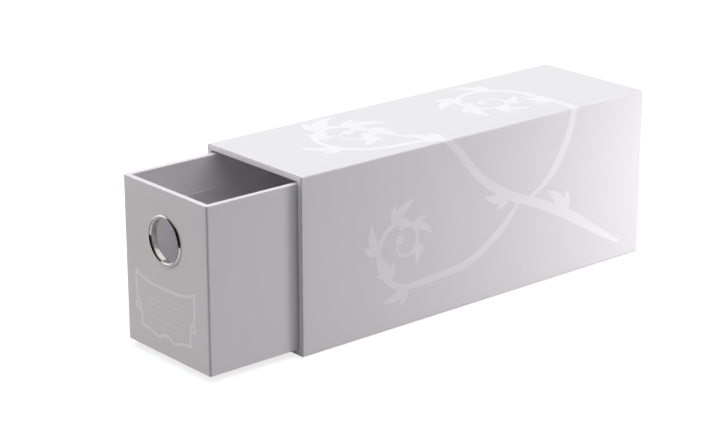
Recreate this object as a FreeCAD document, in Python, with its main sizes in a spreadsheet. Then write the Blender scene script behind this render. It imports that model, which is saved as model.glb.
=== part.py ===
import FreeCAD, Part
import math
import os
import re
import Sketcher
from FreeCAD import Rotation, Vector

# A rigid drawer box for a row of sleeved trading cards: a closed-back sleeve and an
# open-topped drawer with a metal finger ring. Both are greyboard panels glued edge to
# edge, wrapped in laminated paper that is turned over every raw edge, and lined inside.
#
# Millimetres. +Z is up, the drawer opens toward -Y, and the origin is the middle of
# the sleeve's base. Every piece is drawn in the frame of its own carcass (x across,
# y back from that carcass's front, z up from its base) and placed at the end.

DIMENSIONS = (
    # paper and board
    ("greyboard", 3.0, "every board"),
    ("wrap_paper", 0.2, "laminated paper that wraps both carcasses"),
    ("lining_paper", 0.2, "paper that lines them"),
    ("sheet_paper", 0.2, "flat sheets that cover the sleeve's base and back"),
    ("paper_fold", 0.4, "outer radius where the wrap folds over a board's cut edge"),
    # sleeve
    ("sleeve_width", 86.0, "outside"),
    ("sleeve_height", 107.0, "outside, with the base sheet"),
    ("sleeve_length", 276.0, "outside, with the rear sheet"),
    ("sleeve_edge", 1.0, "outer radius of the four long edges"),
    ("sleeve_turn_in", 15.0, "wrap turned into the mouth"),
    ("turn_under", 15.0, "wrap turned under the base"),
    ("turn_back", 15.0, "wrap turned onto the back"),
    ("sheet_margin", 1.5, "base and rear sheets stop this far from the edges"),
    # drawer and the room it runs in
    ("side_gap", 0.7, "each side of the drawer to the sleeve's lining"),
    ("floor_gap", 0.3, "under the drawer"),
    ("head_gap", 1.3, "above the drawer's rim"),
    ("rear_gap", 0.4, "behind the drawer when its front is flush with the mouth"),
    ("drawer_corner", 1.4, "outer radius of the upright corners"),
    ("drawer_turn_in", 23.4, "wrap turned over the rim and down inside"),
    ("lining_lap", 3.0, "lining laid over the edge of that turn-in"),
    ("rest_pull", 62.0, "how far the drawer stands open"),
    # finger ring, clinched through the drawer's front
    ("grip_drop", 29.4, "rim to the middle of the finger hole"),
    ("bore_radius", 12.5, "inside of the barrel"),
    ("flange_radius", 15.0, "outside of the domed flange"),
    ("flange_height", 1.1, "crown of the flange above the front panel"),
    ("flange_nose", 0.9, "radius that turns the crown down into the bore"),
    ("ring_metal", 0.4, "wall of the barrel and thickness of its turned lip"),
    ("lip_width", 1.1, "lip turned outward over the washer"),
    ("washer_width", 2.2, "washer, from its hole to its outside"),
    ("washer_metal", 0.4, "thickness of the washer"),
    ("washer_recess", 0.8, "washer pressed into the back of the front panel"),
    ("hole_clearance", 0.1, "round the barrel, in board, paper and washer"),
)

doc = FreeCAD.newDocument("CardDrawerBox")
sheet = doc.addObject("Spreadsheet::Sheet", "Sizes")
for row, (alias, millimetres, meaning) in enumerate(DIMENSIONS, start=1):
    sheet.set("A%d" % row, meaning)
    sheet.set("B%d" % row, str(millimetres))
    sheet.setAlias("B%d" % row, alias)
doc.recompute()


def bound(text):
    """Turn a sum of size names into an expression on the sheet."""
    return re.sub(r"[a-z_]{2,}", lambda word: "Sizes." + word.group(0), text)


# ---------------------------------------------------------------- layers and planes

WALL = "(wrap_paper + greyboard + lining_paper)"
SLEEVE_FLOOR = "(sheet_paper + wrap_paper + greyboard + lining_paper)"
SLEEVE_BACK = "(sheet_paper + wrap_paper + greyboard + lining_paper)"
DRAWER_WIDTH = "(sleeve_width - 2 * %s - 2 * side_gap)" % WALL
DRAWER_HEIGHT = "(sleeve_height - %s - %s - floor_gap - head_gap)" % (SLEEVE_FLOOR, WALL)
DRAWER_LENGTH = "(sleeve_length - %s - rear_gap)" % SLEEVE_BACK
HOLE_RADIUS = "(bore_radius + ring_metal + hole_clearance)"
HOLE_HEIGHT = "(%s - grip_drop)" % DRAWER_HEIGHT
PANEL_BACK = "(wrap_paper + greyboard + wrap_paper + lining_paper)"
RING_SEAT = "(%s - washer_recess)" % PANEL_BACK


class Extent:
    """A box in size names: left to right, front to back, low to high."""

    def __init__(self, half, front, back, low, high):
        self.half = half
        self.front = front
        self.back = back
        self.low = low
        self.high = high

    def inset(self, step, sides=None, front=None, back=None, low=None, high=None):
        """The same box with each face moved in by a step, or by a step of its own."""
        return Extent(
            "(%s - %s)" % (self.half, sides or step),
            "(%s + %s)" % (self.front, front or step),
            "(%s - %s)" % (self.back, back or step),
            "(%s + %s)" % (self.low, low or step),
            "(%s - %s)" % (self.high, high or step),
        )


# outside of the wrap, outside of the boards, inside of the boards, inside of the lining
sleeve_skin = Extent("(sleeve_width / 2)", "0", "(sleeve_length - sheet_paper)",
                     "sheet_paper", "sleeve_height")
sleeve_boards = sleeve_skin.inset("wrap_paper")
sleeve_hollow = sleeve_boards.inset("greyboard")
sleeve_room = sleeve_hollow.inset("lining_paper")

drawer_skin = Extent("(%s / 2)" % DRAWER_WIDTH, "0", DRAWER_LENGTH, "0", DRAWER_HEIGHT)
drawer_boards = drawer_skin.inset("wrap_paper")
drawer_hollow = drawer_boards.inset("greyboard")
drawer_room = drawer_hollow.inset("lining_paper")


# ---------------------------------------------------------------- modelling helpers

def new_body(name):
    body = doc.addObject("PartDesign::Body", name)
    body.Label = name
    return body


def origin_plane(body, role):
    for feature in body.Origin.OriginFeatures:
        if feature.Role == role:
            return feature
    raise ValueError("no origin plane " + role)


def rectangles(body, name, upright, extents, near):
    """Sketch one rectangle for each extent: in plan, or upright across the box."""
    sketch = body.newObject("Sketcher::SketchObject", name)
    sketch.AttachmentSupport = (origin_plane(body, "XZ_Plane" if upright else "XY_Plane"), "")
    sketch.MapMode = "FlatFace"
    sketch.setExpression("AttachmentOffset.Base.z", bound(("-%s" if upright else "%s") % near))
    corners = (Vector(-9, 1, 0), Vector(9, 1, 0), Vector(9, 9, 0), Vector(-9, 9, 0))
    for extent in extents:
        low, high = (extent.low, extent.high) if upright else (extent.front, extent.back)
        first = sketch.GeometryCount
        lines = [first + side for side in range(4)]
        for side in range(4):
            sketch.addGeometry(Part.LineSegment(corners[side], corners[(side + 1) % 4]), False)
        for side in range(4):
            following = lines[(side + 1) % 4]
            sketch.addConstraint(Sketcher.Constraint("Coincident", lines[side], 2, following, 1))
            direction = "Vertical" if side % 2 else "Horizontal"
            sketch.addConstraint(Sketcher.Constraint(direction, lines[side]))
        placed = (
            ("DistanceX", lines[0], 1, -9.0, "-" + extent.half),
            ("DistanceX", lines[0], 2, 9.0, extent.half),
            ("DistanceY", lines[0], 1, 1.0, low),
            ("DistanceY", lines[2], 1, 9.0, high),
        )
        for kind, line, end, start_value, expression in placed:
            index = sketch.addConstraint(Sketcher.Constraint(kind, -1, 1, line, end, start_value))
            sketch.setExpression("Constraints[%d]" % index, bound(expression))
    return sketch


def extrude(body, name, upright, extents, near, far, cut=False):
    """Pad or pocket a sketch of rectangles from one plane to another."""
    sketch = rectangles(body, name + "_sketch", upright, extents, near)
    feature = body.newObject("PartDesign::Pocket" if cut else "PartDesign::Pad", name)
    feature.Profile = sketch
    feature.Reversed = upright != cut
    feature.setExpression("Length", bound("%s - %s" % (far, near)))
    doc.recompute()
    return feature


def fillet(body, name, radius, wanted):
    """Round the edges of the body's last feature that a test picks."""
    base = body.Tip
    box = base.Shape.BoundBox
    edges = []
    for number, edge in enumerate(base.Shape.Edges, start=1):
        if wanted(edge, box):
            edges.append("Edge%d" % number)
    feature = body.newObject("PartDesign::Fillet", name)
    feature.Base = (base, edges)
    feature.setExpression("Radius", bound(radius))
    doc.recompute()
    return feature


def near_to(first, second):
    return abs(first - second) < 1e-6


def hollow_block(name, upright, solid, hollow, corner):
    """A block hollowed from one end, with the four corners along its length rounded.

    The sleeve's is hollowed from the front, the drawer's from above."""
    body = new_body(name)
    if upright:
        extrude(body, name + "_block", True, [solid], solid.front, solid.back)
        extrude(body, name + "_hollow", True, [hollow], solid.front, hollow.back, cut=True)
    else:
        extrude(body, name + "_block", False, [solid], solid.low, solid.high)
        extrude(body, name + "_hollow", False, [hollow], hollow.low, solid.high, cut=True)

    def along_corner(edge, box):
        ends = [vertex.Point for vertex in edge.Vertexes]
        if upright:
            across = [(point.x, point.z) for point in ends]
            limits = ((box.XMin, box.XMax), (box.ZMin, box.ZMax))
        else:
            across = [(point.x, point.y) for point in ends]
            limits = ((box.XMin, box.XMax), (box.YMin, box.YMax))
        for axis in range(2):
            if not near_to(across[0][axis], across[1][axis]):
                return False
            if min(abs(across[0][axis] - limit) for limit in limits[axis]) > 1e-6:
                return False
        return True

    fillet(body, name + "_corners", corner, along_corner)
    return body


def fold_ends(body, upright):
    """Round the edges in both end planes, where the paper folds round the cut boards."""

    def in_end_plane(edge, box):
        limits = (box.YMin, box.YMax) if upright else (box.ZMin, box.ZMax)
        for limit in limits:
            places = [vertex.Point.y if upright else vertex.Point.z for vertex in edge.Vertexes]
            if all(near_to(place, limit) for place in places):
                return True
        return False

    fillet(body, body.Name + "_folds", "paper_fold", in_end_plane)


def slab(name, extent):
    """A plain box used to cut or to bound another piece."""
    box = doc.addObject("Part::Box", name)
    box.setExpression("Length", bound("2 * " + extent.half))
    box.setExpression("Width", bound("%s - %s" % (extent.back, extent.front)))
    box.setExpression("Height", bound("%s - %s" % (extent.high, extent.low)))
    box.setExpression("Placement.Base.x", bound("-" + extent.half))
    box.setExpression("Placement.Base.y", bound(extent.front))
    box.setExpression("Placement.Base.z", bound(extent.low))
    return box


def side_slab(name, extent, thickness, side):
    """The slab along the left (-1) or the right (+1) face of an extent."""
    box = slab(name, extent)
    box.setExpression("Length", bound(thickness))
    left = "-" + extent.half if side < 0 else "%s - %s" % (extent.half, thickness)
    box.setExpression("Placement.Base.x", bound(left))
    return box


def combine(kind, name, first, second):
    result = doc.addObject("Part::" + kind, name)
    result.Base = first
    result.Tool = second
    return result


def drill(name, radius, front, back):
    """A round cutter that faces forward, from one depth behind the drawer's front to another."""
    cutter = doc.addObject("Part::Cylinder", name)
    cutter.setExpression("Radius", bound(radius))
    cutter.setExpression("Height", bound("(%s) - (%s)" % (back, front)))
    cutter.Placement.Rotation = Rotation(Vector(1, 0, 0), 90)
    cutter.setExpression("Placement.Base.y", bound(back))
    cutter.setExpression("Placement.Base.z", bound(HOLE_HEIGHT))
    return cutter


def finger_hole(name):
    """The stepped hole: right through for the barrel, and wider at the back for the washer."""
    through = drill(name + "_barrel", HOLE_RADIUS, "-%s" % PANEL_BACK, "2 * " + PANEL_BACK)
    recess = drill(name + "_recess", "%s + washer_width + hole_clearance" % HOLE_RADIUS,
                   RING_SEAT, "2 * " + PANEL_BACK)
    return combine("Fuse", name, through, recess)


parts = {}


def finish_sleeve_piece(name, piece):
    piece.Label = name
    piece.setExpression("Placement.Base.y", bound("-sleeve_length / 2"))
    parts[name] = piece


def finish_drawer_piece(name, piece, front="0", height="0"):
    piece.Label = name
    along = "-sleeve_length / 2 - rest_pull + " + front
    piece.setExpression("Placement.Base.y", bound(along))
    piece.setExpression("Placement.Base.z", bound("%s + floor_gap + %s" % (SLEEVE_FLOOR, height)))
    parts[name] = piece


# ---------------------------------------------------------------- sleeve boards
# The top and base boards run the full width, the side boards stand between them, and
# the rear board is let in between all four. Each is cut from the rounded carcass.

core = hollow_block("sleeve_carcass", True, sleeve_boards, sleeve_hollow,
                    "sleeve_edge - wrap_paper")

full = sleeve_boards
inner = sleeve_hollow
top_zone = Extent(full.half, full.front, full.back, inner.high, full.high)
base_zone = Extent(full.half, full.front, full.back, full.low, inner.low)
wall_zone = Extent(full.half, full.front, full.back, inner.low, inner.high)
rear_zone = Extent(inner.half, inner.back, full.back, inner.low, inner.high)

finish_sleeve_piece("sleeve_top_board",
                    combine("Common", "top_board", core, slab("top_zone", top_zone)))
finish_sleeve_piece("sleeve_bottom_board",
                    combine("Common", "bottom_board", core, slab("base_zone", base_zone)))
finish_sleeve_piece("sleeve_rear_board",
                    combine("Common", "rear_board", core, slab("rear_zone", rear_zone)))
for side_name, side in (("left", -1), ("right", 1)):
    zone = side_slab("%s_wall_zone" % side_name, wall_zone, "greyboard", side)
    finish_sleeve_piece("sleeve_%s_board" % side_name,
                        combine("Common", "%s_board" % side_name, core, zone))

# ---------------------------------------------------------------- sleeve wrap
# One skin over the carcass, open in the middle of the base and of the back, where the
# flat sheets cover its turned edges, and turned into the mouth.

skin = hollow_block("sleeve_skin", True, sleeve_skin, sleeve_hollow.inset("wrap_paper"),
                    "sleeve_edge")
fold_ends(skin, True)
shell = combine("Cut", "sleeve_shell", skin, core)

base_window = sleeve_skin.inset("turn_under", low="0", high="0")
base_window.high = sleeve_boards.low
rear_window = sleeve_skin.inset("turn_back", front="0", back="0")
rear_window.front = sleeve_boards.back
past_turn_in = Extent(sleeve_hollow.half, "sleeve_turn_in", sleeve_hollow.back,
                      sleeve_hollow.low, sleeve_hollow.high)

for name, window in (("base_window", base_window), ("rear_window", rear_window),
                     ("past_turn_in", past_turn_in)):
    shell = combine("Cut", "shell_less_" + name, shell, slab(name, window))
finish_sleeve_piece("sleeve_wrap", shell)


# ---------------------------------------------------------------- base and rear sheets
# Both sheets lie on the turned edges of the wrap near their borders and reach the bare
# board in the middle. The base sheet is filled out there, so that the box stands flat;
# the rear sheet steps down by its own thickness instead.

base_sheet = new_body("sleeve_base_sheet")
extrude(base_sheet, "base_sheet_plate", False, [sleeve_skin.inset("sheet_margin")],
        "0", "sheet_paper")
extrude(base_sheet, "base_sheet_infill", False, [base_window],
        "sheet_paper", sleeve_boards.low)
finish_sleeve_piece("sleeve_base_sheet", base_sheet)

rear_sheet = new_body("sleeve_rear_sheet")
extrude(rear_sheet, "rear_sheet_border", True,
        [sleeve_skin.inset("sheet_margin"), rear_window.inset("sheet_paper")],
        sleeve_skin.back, "sleeve_length")
extrude(rear_sheet, "rear_sheet_middle", True, [rear_window],
        sleeve_boards.back, "(%s + sheet_paper)" % sleeve_boards.back)
finish_sleeve_piece("sleeve_rear_sheet", rear_sheet)

# ---------------------------------------------------------------- sleeve linings
# One sheet lines the four walls from the turn-in to the rear board; another covers the
# rear board inside it.

lining = new_body("sleeve_lining")
extrude(lining, "sleeve_lining_tube", True, [sleeve_hollow, sleeve_room],
        "sleeve_turn_in", sleeve_hollow.back)
finish_sleeve_piece("sleeve_lining", lining)

rear_lining = new_body("sleeve_rear_lining")
extrude(rear_lining, "sleeve_rear_lining_sheet", True, [sleeve_room],
        sleeve_room.back, sleeve_hollow.back)
finish_sleeve_piece("sleeve_rear_lining", rear_lining)

# ---------------------------------------------------------------- drawer boards
# The front and rear boards cover the ends of the side boards, and the floor board is
# let in between all four. The front board carries the finger hole.

core = hollow_block("drawer_carcass", False, drawer_boards, drawer_hollow,
                    "drawer_corner - wrap_paper")

full = drawer_boards
inner = drawer_hollow
front_zone = Extent(full.half, full.front, inner.front, full.low, full.high)
back_zone = Extent(full.half, inner.back, full.back, full.low, full.high)
flank_zone = Extent(full.half, inner.front, inner.back, full.low, full.high)
floor_zone = Extent(inner.half, inner.front, inner.back, full.low, inner.low)

front_blank = combine("Common", "drawer_front_blank", core, slab("front_zone", front_zone))
finish_drawer_piece("drawer_front_board",
                    combine("Cut", "drilled_front", front_blank, finger_hole("board_drill")))
finish_drawer_piece("drawer_rear_board",
                    combine("Common", "drawer_back", core, slab("back_zone", back_zone)))
finish_drawer_piece("drawer_floor_board",
                    combine("Common", "drawer_floor", core, slab("floor_zone", floor_zone)))
for side_name, side in (("left", -1), ("right", 1)):
    zone = side_slab("%s_flank_zone" % side_name, flank_zone, "greyboard", side)
    finish_drawer_piece("drawer_%s_board" % side_name,
                        combine("Common", "drawer_%s_flank" % side_name, core, zone))

# ---------------------------------------------------------------- drawer wrap
# One cross-shaped sheet under the floor, up all four walls, over the rim and down
# inside, with the finger hole punched through it.

skin = hollow_block("drawer_skin", False, drawer_skin, drawer_hollow.inset("wrap_paper"),
                    "drawer_corner")
fold_ends(skin, False)
shell = combine("Cut", "drawer_shell", skin, core)
below_turn_in = Extent(drawer_hollow.half, drawer_hollow.front, drawer_hollow.back,
                       drawer_hollow.low, "(%s - drawer_turn_in)" % DRAWER_HEIGHT)
shell = combine("Cut", "trimmed_shell", shell, slab("below_turn_in", below_turn_in))
finish_drawer_piece("drawer_wrap",
                    combine("Cut", "punched_wrap", shell, finger_hole("wrap_drill")))

# ---------------------------------------------------------------- drawer linings
# The wall lining goes on after the wrap: below the turn-in it lies on the board, and
# its top edge laps over the turn-in.

TURN_IN_EDGE = "(%s - drawer_turn_in)" % DRAWER_HEIGHT
collar_outside = drawer_hollow.inset("wrap_paper")
collar_inside = collar_outside.inset("lining_paper")

wall_lining = new_body("drawer_lining_blank")
extrude(wall_lining, "drawer_lining_walls", False, [drawer_hollow, drawer_room],
        drawer_hollow.low, TURN_IN_EDGE)
extrude(wall_lining, "drawer_lining_collar", False, [collar_outside, collar_inside],
        "(%s - lining_paper)" % TURN_IN_EDGE, "(%s + lining_lap)" % TURN_IN_EDGE)
finish_drawer_piece("drawer_wall_lining",
                    combine("Cut", "punched_lining", wall_lining, finger_hole("lining_drill")))

floor_lining = new_body("drawer_floor_lining")
extrude(floor_lining, "drawer_floor_lining_sheet", False, [drawer_room],
        drawer_hollow.low, drawer_room.low)
finish_drawer_piece("drawer_floor_lining", floor_lining)

# ---------------------------------------------------------------- finger ring
# A pressed ring: a domed flange in front, a barrel through the front panel, and a lip
# turned outward over the washer behind it, both pressed in until they are flush. It is
# turned about its own axis, drawn here as sketch x = radius and sketch y = height above
# the outside of the drawer's front.

number = {alias: millimetres for alias, millimetres, meaning in DIMENSIONS}
BARREL_END = "(%s + washer_metal)" % RING_SEAT
START, FINISH, MIDDLE = range(1, 4)
ORIGIN_POINT = (-1, 1)
X_AXIS = -1


def arc_between(first, last, middle):
    """The arc that runs anticlockwise about a middle from one point to another."""
    angles = [math.atan2(point.y - middle.y, point.x - middle.x) for point in (first, last)]
    circle = Part.Circle(middle, Vector(0, 0, 1), (first - middle).Length)
    return Part.ArcOfCircle(circle, angles[0], angles[1])


def ring_outline(sketch):
    """Draw the ring's section near its place: six straight runs and the dome's two arcs."""
    bore, metal = number["bore_radius"], number["ring_metal"]
    flange, crown, nose = number["flange_radius"], number["flange_height"], number["flange_nose"]
    seat = -2 * number["wrap_paper"] - number["greyboard"] - number["lining_paper"]
    seat += number["washer_recess"] - number["washer_metal"]
    lip = bore + metal + number["lip_width"]
    run = flange - bore - nose
    dome = (run ** 2 + crown ** 2) / (2 * crown)
    nose_start = Vector(bore, crown - nose, 0)
    top = Vector(bore + nose, crown, 0)
    rim = Vector(flange, 0, 0)
    corners = (rim, Vector(bore + metal, 0, 0), Vector(bore + metal, seat, 0), Vector(lip, seat, 0),
               Vector(lip, seat - metal, 0), Vector(bore, seat - metal, 0), nose_start)
    for first, last in zip(corners, corners[1:]):
        sketch.addGeometry(Part.LineSegment(first, last), False)
    sketch.addGeometry(arc_between(top, nose_start, Vector(bore + nose, crown - nose, 0)), False)
    sketch.addGeometry(arc_between(rim, top, Vector(bore + nose, crown - dome, 0)), False)


def ring_profile(body):
    sketch = body.newObject("Sketcher::SketchObject", "ring_profile")
    sketch.AttachmentSupport = (origin_plane(body, "XZ_Plane"), "")
    sketch.MapMode = "FlatFace"
    ring_outline(sketch)
    under_flange, barrel, lip_top, lip_edge, lip_back, bore_line, nose, dome = range(8)
    chain = (under_flange, barrel, lip_top, lip_edge, lip_back, bore_line)
    for line, following in zip(chain, chain[1:]):
        sketch.addConstraint(Sketcher.Constraint("Coincident", line, FINISH, following, START))
    sketch.addConstraint(Sketcher.Constraint("Coincident", bore_line, FINISH, nose, FINISH))
    sketch.addConstraint(Sketcher.Constraint("Tangent", nose, START, dome, FINISH))
    sketch.addConstraint(Sketcher.Constraint("Coincident", dome, START, under_flange, START))
    for line in (under_flange, lip_top, lip_back):
        sketch.addConstraint(Sketcher.Constraint("Horizontal", line))
    for line in (barrel, lip_edge, bore_line):
        sketch.addConstraint(Sketcher.Constraint("Vertical", line))
    sketch.addConstraint(Sketcher.Constraint("Horizontal", nose, FINISH, nose, MIDDLE))
    sketch.addConstraint(Sketcher.Constraint("Vertical", nose, START, nose, MIDDLE))
    sketch.addConstraint(Sketcher.Constraint("PointOnObject", dome, START, X_AXIS))
    radius = sketch.addConstraint(Sketcher.Constraint("Radius", nose, number["flange_nose"]))
    sketch.setExpression("Constraints[%d]" % radius, bound("flange_nose"))
    placed = (
        ("DistanceX", dome, START, "flange_radius"),
        ("DistanceX", bore_line, START, "bore_radius"),
        ("DistanceX", barrel, START, "bore_radius + ring_metal"),
        ("DistanceX", lip_edge, START, "bore_radius + ring_metal + lip_width"),
        ("DistanceY", nose, START, "flange_height"),
        ("DistanceY", lip_top, START, "-" + BARREL_END),
        ("DistanceY", lip_back, START, "-%s - ring_metal" % BARREL_END),
    )
    for kind, line, end, expression in placed:
        point = sketch.getPoint(line, end)
        distance = point.x if kind == "DistanceX" else point.y
        constraint = Sketcher.Constraint(kind, *ORIGIN_POINT, line, end, distance)
        index = sketch.addConstraint(constraint)
        sketch.setExpression("Constraints[%d]" % index, bound(expression))
    return sketch


def finish_grip_piece(name, body):
    """Turn a piece drawn about its own axis to face forward, and seat it in the hole."""
    body.Placement.Rotation = Rotation(Vector(1, 0, 0), 90)
    finish_drawer_piece(name, body, height=HOLE_HEIGHT)


ring = new_body("finger_ring")
turned = ring.newObject("PartDesign::Revolution", "turned_ring")
turned.Profile = ring_profile(ring)
turned.ReferenceAxis = (turned.Profile[0], ["V_Axis"])
turned.Angle = 360
finish_grip_piece("finger_ring", ring)

washer = new_body("finger_ring_washer")
washer_sketch = washer.newObject("Sketcher::SketchObject", "washer_rings")
washer_sketch.AttachmentSupport = (origin_plane(washer, "XY_Plane"), "")
washer_sketch.MapMode = "FlatFace"
washer_sketch.setExpression("AttachmentOffset.Base.z", bound("-" + BARREL_END))
for radius, expression in ((number["flange_radius"], "%s + washer_width" % HOLE_RADIUS),
                           (number["bore_radius"], HOLE_RADIUS)):
    circle = washer_sketch.addGeometry(Part.Circle(Vector(0, 0, 0), Vector(0, 0, 1), radius), False)
    centred = Sketcher.Constraint("Coincident", circle, MIDDLE, *ORIGIN_POINT)
    washer_sketch.addConstraint(centred)
    index = washer_sketch.addConstraint(Sketcher.Constraint("Radius", circle, radius))
    washer_sketch.setExpression("Constraints[%d]" % index, bound(expression))
washer_pad = washer.newObject("PartDesign::Pad", "washer_plate")
washer_pad.Profile = washer_sketch
washer_pad.setExpression("Length", bound("washer_metal"))
finish_grip_piece("finger_ring_washer", washer)

# ---------------------------------------------------------------- check and write

doc.recompute()
for item in doc.Objects:
    if "Invalid" in item.State or "Error" in item.State:
        raise RuntimeError("%s failed: %s" % (item.Name, item.State))
for name, piece in parts.items():
    shape = piece.Shape
    if shape.isNull() or not shape.isValid() or len(shape.Solids) != 1:
        raise RuntimeError("%s is not one valid solid" % name)

os.makedirs("parts", exist_ok=True)
for name, piece in parts.items():
    piece.Shape.exportStep("parts/%s.step" % name)
    box = piece.Shape.BoundBox
    print("%-22s %9.1f mm3  x %7.2f %7.2f  y %8.2f %8.2f  z %7.2f %7.2f" % (
        name, piece.Shape.Volume, box.XMin, box.XMax, box.YMin, box.YMax, box.ZMin, box.ZMax))
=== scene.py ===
import math

import bmesh
import bpy
from mathutils import Matrix, Vector, noise
from mathutils.bvhtree import BVHTree
from mathutils.geometry import delaunay_2d_cdt


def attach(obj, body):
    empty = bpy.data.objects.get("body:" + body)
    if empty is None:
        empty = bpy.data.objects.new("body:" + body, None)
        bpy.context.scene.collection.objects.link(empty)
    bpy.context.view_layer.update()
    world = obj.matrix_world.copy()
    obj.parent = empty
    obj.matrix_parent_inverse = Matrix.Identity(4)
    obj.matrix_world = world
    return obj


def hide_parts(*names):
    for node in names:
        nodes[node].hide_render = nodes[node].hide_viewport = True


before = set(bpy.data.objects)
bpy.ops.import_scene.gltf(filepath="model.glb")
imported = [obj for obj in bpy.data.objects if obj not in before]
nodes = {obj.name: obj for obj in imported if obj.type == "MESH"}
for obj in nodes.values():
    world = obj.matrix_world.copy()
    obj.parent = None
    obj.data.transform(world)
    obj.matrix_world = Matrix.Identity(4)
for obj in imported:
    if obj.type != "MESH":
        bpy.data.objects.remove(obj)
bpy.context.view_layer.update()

# ---------------------------------------------------------------- greyboard panels
# Ten panels of 3 mm greyboard, pulped from waste paper, die-cut and glued edge to edge
# into the two carcasses. The wraps and the linings cover them all over.

def place(tree, kind, values=None, **settings):
    """Add a node; a value is a number, a colour or another node's output."""
    node = tree.nodes.new(kind)
    for name, setting in settings.items():
        setattr(node, name, setting)
    for socket, value in (values or {}).items():
        if isinstance(value, bpy.types.NodeSocket):
            tree.links.new(value, node.inputs[socket])
        else:
            node.inputs[socket].default_value = value
    return node


def speckle(tree, where, scale, detail=2.0, stretch=None):
    """Noise over the piece's own coordinates, in marks per metre."""
    if stretch:
        where = place(tree, "ShaderNodeMapping", {"Vector": where, "Scale": stretch}).outputs[0]
    made = place(tree, "ShaderNodeTexNoise", {"Vector": where, "Scale": scale, "Detail": detail})
    return made.outputs["Fac"]


def ranged(tree, value, low, high, start=0.0, end=1.0):
    """A value moved from one range to another."""
    inputs = {0: value, 1: start, 2: end, 3: low, 4: high}
    return place(tree, "ShaderNodeMapRange", inputs).outputs[0]


def blended(tree, share, first, second):
    """A colour between two colours."""
    inputs = {0: share, 6: first, 7: second}
    return place(tree, "ShaderNodeMix", inputs, data_type="RGBA").outputs[2]


def start_material(name, **settings):
    """A material with its shader; settings are those that are the same all over."""
    material = bpy.data.materials.new(name)
    material.use_nodes = True
    tree = material.node_tree
    shader = tree.nodes["Principled BSDF"]
    for socket, value in settings.items():
        shader.inputs[socket.replace("_", " ")].default_value = value
    return material, tree, shader


def embossed(tree, shader, height, depth, strength=1.0):
    """Feed a height to the shader's normal; depth is that of a full step, in metres."""
    bump = place(tree, "ShaderNodeBump", {"Height": height, "Distance": depth, "Strength": strength})
    tree.links.new(bump.outputs[0], shader.inputs["Normal"])


def cover(piece, material):
    """Give a CAD piece its finish."""
    if not piece.material_slots:
        piece.data.materials.append(material)
    for slot in piece.material_slots:
        slot.link = "OBJECT"
        slot.material = material


BOARD_GREY = (0.40, 0.38, 0.345, 1)
BOARD_DARK = (0.20, 0.185, 0.165, 1)
BOARD_PALE = (0.58, 0.56, 0.52, 1)

greyboard, tree, shader = start_material("greyboard", Roughness=0.9)
where = place(tree, "ShaderNodeTexCoord").outputs["Object"]
fibres = speckle(tree, where, 1400, 4.0, (1.0, 0.35, 1.0))
flecks = speckle(tree, where, 620, 2.0)
pulp = blended(tree, ranged(tree, fibres, 0, 1, 0.35, 0.7), BOARD_DARK, BOARD_PALE)
pulp = blended(tree, ranged(tree, flecks, 0.55, 1, 0.3, 0.6), pulp, BOARD_GREY)
tree.links.new(pulp, shader.inputs["Base Color"])
embossed(tree, shader, fibres, 0.00006)

for name in ("sleeve_top_board", "sleeve_bottom_board", "sleeve_left_board", "sleeve_right_board",
             "sleeve_rear_board", "drawer_front_board", "drawer_rear_board", "drawer_left_board",
             "drawer_right_board", "drawer_floor_board"):
    cover(nodes[name], greyboard)

# ---------------------------------------------------------------- sleeve wrap
# One sheet of matt-laminated white paper glued round the carcass. Its ends are folded
# over the cut boards, into the mouth, under the base and onto the back.

MM = 0.001
SHEET = 0.2            # thickness of the wrap
LEVEL = 0.03           # the wrap lies this far inside the nominal skin, under the print
PAPER = (0.83, 0.80, 0.825, 1)
FILM_ROUGHNESS = 0.42


def new_group(name, inputs, outputs):
    """A shader node group with its sockets."""
    group = bpy.data.node_groups.new(name, "ShaderNodeTree")
    for label, kind, value in inputs:
        socket = group.interface.new_socket(label, in_out="INPUT", socket_type="NodeSocket" + kind)
        socket.default_value = value
    for label, kind in outputs:
        group.interface.new_socket(label, in_out="OUTPUT", socket_type="NodeSocket" + kind)
    return group, group.nodes.new("NodeGroupInput").outputs, group.nodes.new("NodeGroupOutput").inputs


# paper: slow clouding of the pulp, a fine tooth, and folds that are lighter, partly from wear by rubbing
# and partly a painted highlight
paper_face, given, result = new_group(
    "paper_face",
    (("Colour", "Color", PAPER), ("Rubbed highlight colour", "Color", (0.9, 0.9, 0.9, 1)),
     ("Clouding", "Float", 0.02), ("Tooth", "Float", 0.5), ("Roughness", "Float", 0.4),
     ("Fold", "Float", 0.0)),
    (("Colour", "Color"), ("Roughness", "Float"), ("Height", "Float")))
where = place(paper_face, "ShaderNodeTexCoord").outputs["Object"]
cloud = speckle(paper_face, where, 34, 3.0)
flock = speckle(paper_face, where, 520, 3.0)
tooth = speckle(paper_face, where, 3600, 2.0)
tone = place(paper_face, "ShaderNodeMath", {0: cloud, 1: flock}, operation="ADD").outputs[0]
tone = place(paper_face, "ShaderNodeMath", {0: tone, 1: 1.0}, operation="SUBTRACT").outputs[0]
tone = place(paper_face, "ShaderNodeMath", {0: tone, 1: given["Clouding"], 2: 1.0},
             operation="MULTIPLY_ADD").outputs[0]
toned = place(paper_face, "ShaderNodeVectorMath", {0: given["Colour"], "Scale": tone},
              operation="SCALE").outputs[0]
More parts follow.
